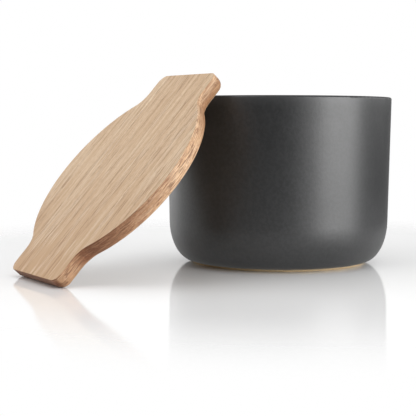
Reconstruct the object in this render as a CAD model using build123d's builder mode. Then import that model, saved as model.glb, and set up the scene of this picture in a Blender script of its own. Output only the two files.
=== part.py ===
import os
from build123d import *

# A round stoneware salt pot and its loose oak lid, in millimetres, +Z up.
# The origin is the centre of the pot's foot, on the table. The lid has been taken off: it stands
# on one ear to the -X side of the pot and leans on the rim, with its top face turned outwards.

# Pot, outside
pot_diameter = 110.0        # at the rim
pot_height = 81.0
wall_draft = 1.1            # the outside draws in by this much, from the rim to the bottom bend
bend_width = 11.0           # the bottom bend is a quarter ellipse
bend_height = 20.0
foot_height = 1.1           # bare clay below the glaze line
glaze_step = 0.3            # the glaze stands proud of the clay by this much
rim_outer_round = 1.0

# Pot, inside
rim_wall = 7.5
inner_draft = 1.5           # the bore narrows by this much, from the mouth to its floor
inner_bend = 14.0
floor_thickness = 7.0
rim_inner_round = 2.0

# Pot, underneath
foot_ring_width = 6.0
foot_recess = 1.6
foot_edge_round = 0.4

# Lid: a disc with two ears, cut from one board
mouth_cover = 1.1           # the disc reaches this far past the edge of the mouth
ear_overhang = 3.9          # an ear reaches this far past the outside of the rim
ear_width = 48.0
ear_corner_radius = 4.5
neck_radius = 10.0          # where an ear runs into the disc
lid_thickness = 7.5
underside_round = 4.0
top_edge_round = 0.3

# How the lid leans
lean_angle = 47.9           # between the board and the table
side_step = 7.1             # its centre line passes this far to the -Y side of the pot's axis
rim_gap = 0.3               # clearance between the board and the rim

pot_radius = pot_diameter / 2
mouth_radius = pot_radius - rim_wall
wall_foot_radius = pot_radius - wall_draft
foot_radius = wall_foot_radius - bend_width
clay_radius = foot_radius - glaze_step
bend_top = foot_height + bend_height
bore_floor_radius = mouth_radius - inner_draft
disc_radius = mouth_radius + mouth_cover
ear_reach = pot_radius + ear_overhang


# Stoneware pot: half of its section, turned about the Z axis
with BuildPart() as stoneware_pot:
    with BuildSketch(Plane.XZ) as half_section:
        with BuildLine():
            # Underneath: the recess, the bare foot ring and the glaze line
            underneath = Polyline(
                (0, foot_recess),
                (clay_radius - foot_ring_width, foot_recess),
                (clay_radius - foot_ring_width, 0),
                (clay_radius, 0),
                (clay_radius, foot_height),
                (foot_radius, foot_height),
            )
            # Bottom bend, from the glaze line up into the wall
            EllipticalCenterArc(
                (foot_radius, bend_top), bend_width, bend_height, start_angle=270, arc_size=90
            )
            # Wall, rim, bore and floor
            wall_and_bore = Polyline(
                (wall_foot_radius, bend_top),
                (pot_radius, pot_height),
                (mouth_radius, pot_height),
                (bore_floor_radius, floor_thickness),
                (0, floor_thickness),
            )
            Line(wall_and_bore @ 1, underneath @ 0)
        make_face()
        for corner, corner_round in (
            ((clay_radius, 0), foot_edge_round),
            ((pot_radius, pot_height), rim_outer_round),
            ((mouth_radius, pot_height), rim_inner_round),
            ((bore_floor_radius, floor_thickness), inner_bend),
        ):
            fillet(half_section.vertices().sort_by_distance(corner)[0], corner_round)
    revolve(axis=Axis.Z)

stoneware_pot.part.label = "stoneware_pot"


# Where the board stands. Its own X runs along its length, up towards the rim, its own Y is level,
# and its own Z is square to its faces, outwards and up. Its underside passes the round of the rim
# with rim_gap to spare, and the rounded underside edge of its lower ear touches the table.
length_way = Vector(1, 0, 0).rotate(Axis.Y, -lean_angle)
face_way = Vector(0, 0, 1).rotate(Axis.Y, -lean_angle)
ear_round_centre = underside_round * face_way - (ear_reach - underside_round) * length_way
board_height = underside_round - ear_round_centre.Z
rim_round_centre = Vector(rim_outer_round - pot_radius, 0, pot_height - rim_outer_round)
rim_touch = rim_round_centre + (rim_outer_round + rim_gap) * face_way
touch_along_board = (rim_touch.Z - board_height) / length_way.Z
board_centre = rim_touch - touch_along_board * length_way - Vector(0, side_step, 0)
board = Plane(origin=board_centre, x_dir=length_way, z_dir=face_way)


# Oak lid
with BuildPart(board) as oak_lid:
    with BuildSketch(board) as lid_outline:
        Circle(disc_radius)
        RectangleRounded(2 * ear_reach, ear_width, ear_corner_radius)
        necks = lid_outline.vertices().filter_by(lambda v: abs(v.X) < disc_radius)
        fillet(necks, neck_radius)
    extrude(amount=lid_thickness)
    through_board = oak_lid.faces().sort_by(Axis(board.origin, board.z_dir))
    fillet(through_board[0].edges(), underside_round)
    fillet(through_board[-1].edges(), top_edge_round)

oak_lid.part.label = "oak_lid"


os.makedirs("parts", exist_ok=True)
for piece in (stoneware_pot, oak_lid):
    export_step(piece.part, f"parts/{piece.part.label}.step")
    print(piece.part.label, round(piece.part.volume / 1000, 1), "cm3")
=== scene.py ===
import math

import bmesh
import bpy
from mathutils import Matrix, Vector


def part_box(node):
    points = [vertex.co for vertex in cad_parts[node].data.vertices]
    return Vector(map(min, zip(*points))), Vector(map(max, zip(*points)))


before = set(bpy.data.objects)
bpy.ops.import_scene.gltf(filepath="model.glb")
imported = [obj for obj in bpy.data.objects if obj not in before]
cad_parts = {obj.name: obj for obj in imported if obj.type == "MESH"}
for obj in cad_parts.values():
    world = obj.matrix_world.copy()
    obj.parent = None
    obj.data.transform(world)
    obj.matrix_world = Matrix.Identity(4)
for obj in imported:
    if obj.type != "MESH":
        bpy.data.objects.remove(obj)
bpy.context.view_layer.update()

mm = 0.001
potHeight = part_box("stoneware_pot")[1].z

# settings that many nodes share
smooth = {"interpolation_type": "SMOOTHSTEP"}
multiply = {"operation": "MULTIPLY"}
mixColors = {"data_type": "RGBA"}
mixNumbers = {"data_type": "FLOAT"}


def linearColor(hexColor):
    channels = [int(hexColor[i:i + 2], 16) / 255 for i in (1, 3, 5)]
    linear = [c / 12.92 if c <= 0.04045 else ((c + 0.055) / 1.055) ** 2.4 for c in channels]
    return (*linear, 1.0)


def addNode(tree, kind, settings=None, **inputs):
    # settings are the node's own options; inputs are values, or sockets or nodes to link,
    # each under the name of its socket or as in_0, in_1
    node = tree.nodes.new("ShaderNode" + kind)
    for name, value in (settings or {}).items():
        setattr(node, name, value)
    for name, value in inputs.items():
        socket = node.inputs[int(name[3:]) if name.startswith("in_") else name.replace("_", " ")]
        if isinstance(value, bpy.types.Node):
            value = next(output for output in value.outputs if output.enabled)
        if isinstance(value, bpy.types.NodeSocket):
            tree.links.new(value, socket)
        else:
            socket.default_value = value
    return node


def newMaterial(name):
    material = bpy.data.materials.new(name)
    material.use_nodes = True
    material.node_tree.nodes.clear()
    return material, material.node_tree


# camera
cameraView = {
    "fromAxis": 554.2 * mm,      # from the pot's axis
    "height": 69.7 * mm,
    "azimuth": 234.18,           # degrees round +Z, where the camera stands
    "turn": 3.6,                 # looks this far to the left of the pot's axis
    "tilt": 4.5,                 # and down by this much
    "roll": 0.19,
    "lens": 96.5,
    "sensorWidth": 36,
    "clipStart": 10 * mm,
}


def placeCamera(view):
    azimuth = math.radians(view["azimuth"])
    place = Vector((math.cos(azimuth), math.sin(azimuth), 0)) * view["fromAxis"]
    place.z = view["height"]
    heading = azimuth + math.radians(90 + view["turn"])
    camera = bpy.data.objects.new("camera", bpy.data.cameras.new("camera"))
    camera.data.lens = view["lens"]
    camera.data.sensor_width = view["sensorWidth"]
    camera.data.clip_start = view["clipStart"]
    camera.matrix_world = (
        Matrix.Translation(place)
        @ Matrix.Rotation(heading, 4, "Z")
        @ Matrix.Rotation(math.radians(90 - view["tilt"]), 4, "X")
        @ Matrix.Rotation(math.radians(view["roll"]), 4, "Z")
    )
    bpy.context.scene.collection.objects.link(camera)
    bpy.context.scene.camera = camera
    print("camera placed")


# light
studio = {
    "worldLight": 0.17,          # what the dim room gives every surface
    "whiteWall": 0.85,           # what gloss sees of the white room, behind on the left
    "darkSide": 0.17,            # and on its dark side
    "wallAzimuth": -145,         # degrees from the camera's side, where the white is brightest
    "wallFrom": 0.35,            # cosine of the angle from there, where the white begins
    "wallTo": 0.85,              # and where it is full
    "softboxes": {
        # azimuth from the camera's side, positive to its right; degrees and metres
        "key": {
            "azimuth": 61, "height": 0.12, "distance": 0.62,
            "size": (0.47, 0.36), "brightness": 5.25,
        },
        "keySide": {
            "azimuth": 35, "height": 0.16, "distance": 0.66,
            "size": (0.36, 0.44), "brightness": 1.36,
        },
        "right": {
            "azimuth": 104, "height": 0.30, "distance": 0.60,
            "size": (0.75, 0.45), "brightness": 1.35,
        },
        "left": {
            "azimuth": -62, "height": 0.62, "distance": 0.85,
            "size": (1.0, 0.75), "brightness": 1.45,
        },
        "leftBack": {
            "azimuth": -132, "height": 0.16, "distance": 0.60,
            "size": (0.30, 0.40), "brightness": 0.8,
        },
        "top": {
            "azimuth": 0, "height": 0.90, "distance": 0.05,
            "size": (1.4, 1.4), "brightness": 1.34,
            "glossy": False,     # diffused so widely that gloss doesn't show it
        },
    },
}


def lightStudio(light):
    scene = bpy.context.scene
    world = bpy.data.worlds.new("studio")
    scene.world = world
    world.use_nodes = True
    tree = world.node_tree
    tree.nodes.clear()
    rays = addNode(tree, "LightPath").outputs
    gloss = addNode(tree, "Math", {"operation": "MAXIMUM"}, in_0=rays["Is Glossy Ray"],
                    in_1=rays["Is Transmission Ray"])
    wallAngle = math.radians(cameraView["azimuth"] + light["wallAzimuth"])
    looksTo = addNode(tree, "TexCoord").outputs["Generated"]
    towards = addNode(tree, "VectorMath", {"operation": "DOT_PRODUCT"}, in_0=looksTo,
                      in_1=(math.cos(wallAngle), math.sin(wallAngle), 0))
    wall = addNode(tree, "MapRange", smooth, Value=towards, From_Min=light["wallFrom"],
                   From_Max=light["wallTo"], To_Min=light["darkSide"], To_Max=light["whiteWall"])
    # the camera itself sees pure white, without more light on the object
    unseen = addNode(tree, "Mix", mixNumbers, in_0=gloss, in_2=light["worldLight"], in_3=wall)
    level = addNode(tree, "Mix", mixNumbers, in_0=rays["Is Camera Ray"], in_2=unseen, in_3=1.0)
    background = addNode(tree, "Background", Color=(1, 1, 1, 1), Strength=level)
    addNode(tree, "OutputWorld", Surface=background)
    for name, box in light["softboxes"].items():
        angle = math.radians(cameraView["azimuth"] + box["azimuth"])
        lamp = bpy.data.lights.new(name, "AREA")
        lamp.shape = "RECTANGLE"
        lamp.size, lamp.size_y = box["size"]
        # seen in a mirror, a brightness of 1 is white, however large the box
        lamp.energy = box["brightness"] * math.pi * lamp.size * lamp.size_y
        holder = bpy.data.objects.new(name, lamp)
        holder.location = (math.cos(angle) * box["distance"], math.sin(angle) * box["distance"],
                           box["height"])
        aim = Vector((0, 0, potHeight / 2)) - holder.location
        holder.rotation_mode = "QUATERNION"
        holder.rotation_quaternion = aim.to_track_quat("-Z", "Y")
        holder.visible_camera = False
        holder.visible_glossy = box.get("glossy", True)
        scene.collection.objects.link(holder)
    scene.view_settings.view_transform = "Standard"
    print("studio lit with", len(light["softboxes"]), "softboxes")


# floor
floor = {
    "radius": 0.6,
    "segments": 96,
    "drop": 0.05 * mm,           # lies this far under the foot, so that they never share a plane
    "fadeFrom": 0.15,            # it goes over into the white of the room from here
    "fadeTo": 0.26,
    "color": "#FAFAFA",
    "ior": 1.58,                 # acrylic has 1.49, a little more gives a clearer reflection
    "roughness": 0.08,
    "evenLight": 0.54,           # gloss on the object sees part of it as if no shadow lay on it
    "evenShare": 0.4,
}


def layFloor(spec):
    mesh = bpy.data.meshes.new("floor")
    disc = bmesh.new()
    bmesh.ops.create_circle(disc, cap_ends=True, segments=spec["segments"], radius=spec["radius"])
    disc.to_mesh(mesh)
    disc.free()
    ground = bpy.data.objects.new("floor", mesh)
    ground.location.z = -spec["drop"]
    bpy.context.scene.collection.objects.link(ground)

    # cast white acrylic with its gloss left on: an even pale sheet whose reflection is faint from
    # above and grows towards a low view
    material, tree = newMaterial("gloss white acrylic sheet")
    place = addNode(tree, "TexCoord").outputs["Object"]
    reach = addNode(tree, "VectorMath", {"operation": "LENGTH"}, in_0=place)
    fade = addNode(tree, "MapRange", smooth, Value=reach, From_Min=spec["fadeFrom"],
                   From_Max=spec["fadeTo"])
    diffuse = addNode(tree, "BsdfDiffuse", Color=linearColor(spec["color"]))
    mirror = addNode(tree, "BsdfGlossy", Color=(1, 1, 1, 1), Roughness=spec["roughness"])
    sheet = addNode(tree, "MixShader", Fac=addNode(tree, "Fresnel", IOR=spec["ior"]), in_1=diffuse,
                    in_2=mirror)
    even = addNode(tree, "Emission", Strength=spec["evenLight"])
    inGloss = addNode(tree, "Math", multiply, in_1=spec["evenShare"],
                      in_0=addNode(tree, "LightPath").outputs["Is Glossy Ray"])
    surface = addNode(tree, "MixShader", Fac=inGloss, in_1=sheet, in_2=even)
    clear = addNode(tree, "BsdfTransparent")
    faded = addNode(tree, "MixShader", Fac=fade, in_1=surface, in_2=clear)
    addNode(tree, "OutputMaterial", Surface=faded)
    mesh.materials.append(material)
    print("floor laid")


# pot
pot = {
    "glaze": "#18191A",
    "glazeSpeck": "#222324",
    "speckFrom": 0.38,           # of the mottle cloud
    "speckTo": 0.62,
    "rimHighlight": "#38393A",      # a painted highlight, just under the rim
    "rimHighlightFrom": 74 * mm,         # height above the table
    "rimHighlightPower": 2.0,            # it lightens slowly at first, fastest at the rim
    "uprightFrom": 0.8,          # upward part of the normal: the rim's flat top stays dark
    "uprightTo": 0.4,
    "glazeIor": 1.7,
    "glazeRoughness": 0.39,
    "glazeUnevenness": 0.045,    # how much duller and shinier its patches are
    "rippleDepth": 0.04 * mm,
    "clay": "#D6C09C",
    "clayGrain": "#B89E78",
    "clayRoughness": 0.9,
    "gritDepth": 0.03 * mm,
    "glazeLine": 1.1 * mm,       # height above the table where the glaze ends
    "glazeLineDepth": 0.15 * mm,
    "recessRadius": 41.5 * mm,   # inside the foot ring the base is bare too
    "recessHeight": 3.0 * mm,
    "clouds": {
        # size, then fineness and roughness of the cloud
        "mottle": (1.5 * mm, 3.0, 0.6),  # ripples; real ones, half as wide, are too fine to show
        "patches": (9 * mm, 2.0, 0.6),   # where the glaze dried duller or shinier
        "grit": (0.7 * mm, 3.0, 0.6),    # sand in the bare clay, drawn coarser for the same reason
        "waves": (6 * mm, 1.0, 0.5),     # of the line where the glaze ends
    },
}


def matteGlazedStoneware(spec):
    # near-black satin-matte glaze over tan stoneware: soft broad highlights, a dry bare foot
    material, tree = newMaterial("matte-glazed stoneware")
    coordinates = addNode(tree, "TexCoord").outputs
    place = coordinates["Object"]
    xyz = addNode(tree, "SeparateXYZ", Vector=place).outputs
    clouds = {}
    for name, (size, fineness, roughness) in spec["clouds"].items():
        clouds[name] = addNode(tree, "TexNoise", Vector=place, Scale=1 / size, Detail=fineness,
                               Roughness=roughness)

    specks = addNode(tree, "MapRange", smooth, Value=clouds["mottle"], From_Min=spec["speckFrom"],
                     From_Max=spec["speckTo"])
    glazeColor = addNode(tree, "Mix", mixColors, in_0=specks, in_6=linearColor(spec["glaze"]),
                         in_7=linearColor(spec["glazeSpeck"]))
    # a painted highlight: lighter grey just under the rim's outer edge, where the top of the wall
    # catches the light
    steepness = addNode(tree, "SeparateXYZ", Vector=coordinates["Normal"]).outputs["Z"]
    upright = addNode(tree, "MapRange", smooth, Value=steepness, From_Min=spec["uprightFrom"],
                      From_Max=spec["uprightTo"])
    nearRim = addNode(tree, "MapRange", Value=xyz["Z"], From_Min=spec["rimHighlightFrom"],
                      From_Max=potHeight)
    nearRim = addNode(tree, "Math", {"operation": "POWER"}, in_0=nearRim, in_1=spec["rimHighlightPower"])
    paintedRimHighlight = addNode(tree, "Math", multiply, in_0=nearRim, in_1=upright)
    glazeColor = addNode(tree, "Mix", mixColors, in_0=paintedRimHighlight, in_6=glazeColor,
                         in_7=linearColor(spec["rimHighlight"]))
    satin = addNode(tree, "MapRange", Value=clouds["patches"],
                    To_Min=spec["glazeRoughness"] - spec["glazeUnevenness"],
                    To_Max=spec["glazeRoughness"] + spec["glazeUnevenness"])
    clayColor = addNode(tree, "Mix", mixColors, in_0=clouds["grit"],
                        in_6=linearColor(spec["clayGrain"]), in_7=linearColor(spec["clay"]))

    # the glaze stops in a slightly wavy line above the foot, and was never laid inside its ring
    line = addNode(tree, "MapRange", Value=clouds["waves"],
                   To_Min=spec["glazeLine"] - spec["glazeLineDepth"],
                   To_Max=spec["glazeLine"] + spec["glazeLineDepth"])
    belowLine = addNode(tree, "Math", {"operation": "LESS_THAN"}, in_0=xyz["Z"], in_1=line)
    flat = addNode(tree, "CombineXYZ", X=xyz["X"], Y=xyz["Y"])
    fromAxis = addNode(tree, "VectorMath", {"operation": "LENGTH"}, in_0=flat)
    inside = addNode(tree, "Math", {"operation": "LESS_THAN"}, in_0=fromAxis,
                     in_1=spec["recessRadius"])
    low = addNode(tree, "Math", {"operation": "LESS_THAN"}, in_0=xyz["Z"],
                  in_1=spec["recessHeight"])
    inRecess = addNode(tree, "Math", multiply, in_0=inside, in_1=low)
    bare = addNode(tree, "Math", {"operation": "MAXIMUM"}, in_0=belowLine, in_1=inRecess)

    color = addNode(tree, "Mix", mixColors, in_0=bare, in_6=glazeColor, in_7=clayColor)
    dullness = addNode(tree, "Mix", mixNumbers, in_0=bare, in_2=satin, in_3=spec["clayRoughness"])
    ripple = addNode(tree, "Bump", Strength=1.0, Distance=spec["rippleDepth"],
                     Height=clouds["mottle"])
    gritty = addNode(tree, "Bump", Strength=bare, Distance=spec["gritDepth"], Height=clouds["grit"],
                     Normal=ripple)
    stoneware = addNode(tree, "BsdfPrincipled", IOR=spec["glazeIor"], Roughness=dullness,
                        Base_Color=color, Normal=gritty)
    addNode(tree, "OutputMaterial", Surface=stoneware)
    return material


# lid
lid = {
    "lean": 47.9,                # degrees between the board and the table
    "late": "#F0D9BC",           # summer wood, the ground that the layers below lie on
    "early": "#D8B997",          # spring wood, in rings and plain bands
    "fibre": "#C3A07D",
    "pore": "#8C5C3E",
    "sawnPore": "#70482D",
    "brownPore": "#54301E",
    "undersideShade": "#83715F",       # painted shade: the underside is greyer and darker
    "ray": "#F0DFC8",
    "edge": "#C79D75",           # the sawn sides take more oil than the faces
    "shadeGold": "#BB8758",     # painted shade on the sides, going through gold
    "shadeBrown": "#7E4C31",      # to brown towards the end that stands on the table
    "upperShadeBrown": "#8E6038",     # painted shade low on the sides of the other end too
    # along the board, from its middle
    "shadeFrom": -10 * mm,
    "shadeTo": -50 * mm,
    "shadeSlant": -2.0,          # the painted shade reaches further up the board near the face
    "upperShadeFrom": 12 * mm,
    "upperShadeTo": 38 * mm,
    "earPaleFrom": -42 * mm,     # the painted shade is paler again on the sides of the lower ear
    "earPaleTo": -50 * mm,
    "earPaleKeeps": 0.25,        # and keep this much of it
    "earShadeFrom": 0 * mm,       # painted shade: the face darkens a little along the lower ear as well
    "earShadeTo": -62 * mm,
    # above the board's underside
    "deepFrom": 6.6 * mm,
    "deepTo": 3.6 * mm,
    # part of the normal that points through the board, or along it for the end grain
    "sideFrom": 0.97,
    "sideTo": 0.6,
    "undersideFrom": -0.75,
    "undersideTo": -0.99,
    "endGrainFrom": 0.5,
    "endGrainTo": 0.95,
    "ringWidth": 3.1 * mm,
    "ringSway": 1.8,             # in ring widths
    "springTo": 0.12,            # spring wood sets in sharply, in this part of a ring
    "fadesFrom": 0.2,            # and goes over into summer wood slowly
    "fadesTo": 0.8,
    "pithAway": (-70 * mm, -60 * mm),    # the heart of the tree, across and below the board
    "rowFrom": 0.44,             # pores and pale flecks gather in rows, where their cloud is dense
    "rowTo": 0.58,
    "sawRowFrom": 0.40,
    "sawRowLeast": 0.35,         # sawn pores show between their rows too, this strongly
    "poreDepth": 0.06 * mm,
    "poreStrength": 0.4,
    "ior": 1.45,
    "smoothest": 0.58,           # roughness of the densest and the loosest fibres
    "roughest": 0.68,
    "sheenFrom": 0.3,            # of the fibres' cloud
    "sheenTo": 0.7,
    "cloudStep": (7.3, 3.1, 5.7),        # takes each cloud from a place of its own in the noise
    "grain": {
        # millimetres along, across and through the board, then fineness and roughness of the cloud;
        # real fibres and pores, 0.02 to 0.3 mm wide, are too fine to show and are drawn coarser
        "sway": ((60, 18, 18), 2.0, 0.5),
        "planks": ((150, 8, 8), 1.0, 0.5),
        "bands": ((70, 4.6, 4.6), 2.0, 0.5),
        "fibres": ((30, 0.62, 0.62), 4.0, 0.72),
        "poreRows": ((60, 2.6, 2.6), 1.0, 0.5),
        "pores": ((10, 0.38, 0.38), 1.0, 0.5),
        "specks": ((2.2, 0.45, 0.45), 1.0, 0.5),
        "paleRows": ((34, 4.5, 4.5), 1.0, 0.5),
        "paleDashes": ((12, 0.38, 0.38), 1.0, 0.5),
        "sawRows": ((16, 9, 2.6), 1.0, 0.5),
        "sawnPores": ((5.5, 6, 0.5), 3.0, 0.62),
        "sawnFibres": ((9, 8, 0.45), 2.0, 0.6),
    },
    "layers": [
        # colour, place, how strongly, and if a cloud draws it, which one and from which of its
        # values to which
        ("early", "spring", 0.7),
        ("early", "all", 0.65, "planks", 0.42, 0.58),
        ("early", "all", 0.45, "bands", 0.40, 0.60),
        ("fibre", "all", 0.55, "fibres", 0.42, 0.64),
        ("fibre", "all", 0.5, "specks", 0.46, 0.66),
        # painted shade along the lower ear
        ("fibre", "lowerEarShade", 1.0),
        ("ray", "paleRows", 0.5, "paleDashes", 0.52, 0.62),
        ("edge", "sides", 0.72),
        ("late", "sides", 0.4, "sawnFibres", 0.49, 0.58),
        # painted shade on the sides, towards both ends
        ("shadeGold", "shadeSides", 0.5),
        ("shadeBrown", "shadeSides", 1.0),
        ("upperShadeBrown", "upperShadeSides", 0.8),
        ("brownPore", "endGrain", 0.4),
        ("edge", "shadeSides", 0.36, "sawnFibres", 0.47, 0.58),
        ("edge", "upperShadeSides", 0.4, "sawnFibres", 0.47, 0.58),
        ("brownPore", "shadeSides", 0.45, "specks", 0.48, 0.60),
        ("brownPore", "upperShadeSides", 0.3, "specks", 0.48, 0.60),
        # painted shade on the underside
        ("undersideShade", "underside", 0.75),
        ("sawnPore", "sawn", 0.75, "sawnPores", 0.50, 0.56),
        ("pore", "poreRows", 0.55, "pores", 0.53, 0.60),
    ],
    "sunken": ("sawnPore", "pore"),      # these layers are hollows as well
}


def boardPlace(lean):
    # turned by the lean, the lid's coordinates run along the board in X and through it in Z;
    # this moves their origin to the middle of its underside
    turn = Matrix.Rotation(lean, 3, "Y")
    points = [turn @ v.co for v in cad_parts["oak_lid"].data.vertices]
    low = [min(p[i] for p in points) for i in range(3)]
    high = [max(p[i] for p in points) for i in range(3)]
    return (-(low[0] + high[0]) / 2, -(low[1] + high[1]) / 2, -low[2])


def oiledOak(spec):
    # pale straight-grained oak, sanded fine and oiled: narrow pore dashes along the board, browner
    # sawn sides, and a soft sheen that changes with the fibres; painted shade on the sides at both
    # ends, on the underside and along the lower ear
    material, tree = newMaterial("sanded and oiled oak")
    lean = math.radians(spec["lean"])
    coordinates = addNode(tree, "TexCoord").outputs
    board = addNode(tree, "Mapping", Vector=coordinates["Object"], Rotation=(0, lean, 0),
                    Location=boardPlace(lean))
    xyz = addNode(tree, "SeparateXYZ", Vector=board).outputs
    facing = addNode(tree, "Mapping", {"vector_type": "VECTOR"}, Vector=coordinates["Normal"],
                     Rotation=(0, lean, 0))
    upwards = addNode(tree, "SeparateXYZ", Vector=facing).outputs["Z"]
    unsigned = addNode(tree, "VectorMath", {"operation": "ABSOLUTE"}, in_0=facing)
    tilt = addNode(tree, "SeparateXYZ", Vector=unsigned).outputs

    grain = {}
    for name, (size, fineness, roughness) in spec["grain"].items():
        stretched = addNode(tree, "Mapping", Vector=board,
                            Scale=tuple(1 / (side * mm) for side in size),
                            Location=tuple(step * len(grain) for step in spec["cloudStep"]))
        grain[name] = addNode(tree, "TexNoise", Vector=stretched, Scale=1.0, Detail=fineness,
                              Roughness=roughness)

    # growth rings: distance from the heart, a little wavy along the board
    heartAcross, heartBelow = spec["pithAway"]
    across = addNode(tree, "Math", {"operation": "SUBTRACT"}, in_0=xyz["Y"], in_1=heartAcross)
    below = addNode(tree, "Math", {"operation": "SUBTRACT"}, in_0=xyz["Z"], in_1=heartBelow)
    fromHeart = addNode(tree, "VectorMath", {"operation": "LENGTH"},
                        in_0=addNode(tree, "CombineXYZ", X=across, Y=below))
    rings = addNode(tree, "Math", {"operation": "DIVIDE"}, in_0=fromHeart, in_1=spec["ringWidth"])
    waved = addNode(tree, "Math", {"operation": "MULTIPLY_ADD"}, in_0=grain["sway"],
                    in_1=spec["ringSway"], in_2=rings)
    phase = addNode(tree, "Math", {"operation": "FRACT"}, in_0=waved)
    starts = addNode(tree, "MapRange", smooth, Value=phase, From_Max=spec["springTo"])
    ends = addNode(tree, "MapRange", smooth, Value=phase, From_Min=spec["fadesFrom"],
                   From_Max=spec["fadesTo"], To_Min=1.0, To_Max=0.0)
    spring = addNode(tree, "Math", multiply, in_0=starts, in_1=ends)

    # how much a spot belongs to each place: the sides, where the saw and the sander cut the fibres
    # open, the underside, and the end grain
    sides = addNode(tree, "MapRange", smooth, Value=tilt["Z"], From_Min=spec["sideFrom"],
                    From_Max=spec["sideTo"])
    underside = addNode(tree, "MapRange", smooth, Value=upwards, From_Min=spec["undersideFrom"],
                        From_Max=spec["undersideTo"])
    endGrain = addNode(tree, "MapRange", smooth, Value=tilt["X"], From_Min=spec["endGrainFrom"],
                       From_Max=spec["endGrainTo"])
    # painted shade, brown towards the lower end and fullest on the end grain, which the long sides
    # of its ear keep little of
    slanted = addNode(tree, "Math", {"operation": "MULTIPLY_ADD"}, in_0=xyz["Z"],
                      in_1=spec["shadeSlant"], in_2=xyz["X"])
    lowerEndShade = addNode(tree, "MapRange", Value=slanted, From_Min=spec["shadeFrom"],
                       From_Max=spec["shadeTo"])
    earSide = addNode(tree, "MapRange", smooth, Value=xyz["X"], From_Min=spec["earPaleFrom"],
                      From_Max=spec["earPaleTo"], To_Min=1.0, To_Max=spec["earPaleKeeps"])
    brownest = addNode(tree, "Math", {"operation": "MAXIMUM"}, in_0=endGrain, in_1=earSide)
    brown = addNode(tree, "Math", multiply, in_0=lowerEndShade, in_1=brownest)
    shadeSides = addNode(tree, "Math", multiply, in_0=brown, in_1=sides)
    # painted shade low on the sides of the upper end
    upperEnd = addNode(tree, "MapRange", smooth, Value=xyz["X"], From_Min=spec["upperShadeFrom"],
                       From_Max=spec["upperShadeTo"])
    deep = addNode(tree, "MapRange", Value=xyz["Z"], From_Min=spec["deepFrom"],
                   From_Max=spec["deepTo"])
    upperEndShade = addNode(tree, "Math", multiply, in_0=upperEnd, in_1=deep)
    upperShadeSides = addNode(tree, "Math", multiply, in_0=upperEndShade, in_1=sides)
    lowerEarShade = addNode(tree, "MapRange", Value=xyz["X"], From_Min=spec["earShadeFrom"],
                       From_Max=spec["earShadeTo"])
    places = {
        "all": 1.0, "spring": spring, "sides": sides, "shadeSides": shadeSides,
        "upperShadeSides": upperShadeSides, "endGrain": endGrain, "underside": underside,
        "lowerEarShade": lowerEarShade,
    }
    for name in ("poreRows", "paleRows"):
        places[name] = addNode(tree, "MapRange", smooth, Value=grain[name],
                               From_Min=spec["rowFrom"], From_Max=spec["rowTo"])
    sawRows = addNode(tree, "MapRange", smooth, Value=grain["sawRows"], From_Min=spec["sawRowFrom"],
                      From_Max=spec["rowTo"], To_Min=spec["sawRowLeast"])
    places["sawn"] = addNode(tree, "Math", multiply, in_0=sawRows, in_1=sides)

    tone = linearColor(spec["late"])
    relief = 0.0
    for colorName, place, strength, *drawnBy in spec["layers"]:
        cloud = 1.0
        if drawnBy:
            cloudName, begins, full = drawnBy
            cloud = addNode(tree, "MapRange", smooth, Value=grain[cloudName], From_Min=begins,
                            From_Max=full)
        amount = addNode(tree, "Math", multiply, in_0=cloud, in_1=places[place])
        amount = addNode(tree, "Math", multiply, in_0=amount, in_1=strength)
        tone = addNode(tree, "Mix", mixColors, in_0=amount, in_6=tone,
                       in_7=linearColor(spec[colorName]))
        if colorName in spec["sunken"]:
            relief = addNode(tree, "Math", {"operation": "SUBTRACT"}, in_0=relief, in_1=amount)

    bump = addNode(tree, "Bump", Strength=spec["poreStrength"], Distance=spec["poreDepth"],
                   Height=relief)
    sheen = addNode(tree, "MapRange", smooth, Value=grain["fibres"], From_Min=spec["sheenFrom"],
                    From_Max=spec["sheenTo"], To_Min=spec["smoothest"], To_Max=spec["roughest"])
    wood = addNode(tree, "BsdfPrincipled", IOR=spec["ior"], Roughness=sheen, Base_Color=tone,
                   Normal=bump)
    addNode(tree, "OutputMaterial", Surface=wood)
    return material


def dressNode(node, material):
    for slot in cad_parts[node].material_slots:
        slot.material = material
    print(node, "dressed in", material.name)


placeCamera(cameraView)
lightStudio(studio)
layFloor(floor)
dressNode("stoneware_pot", matteGlazedStoneware(pot))
dressNode("oak_lid", oiledOak(lid))
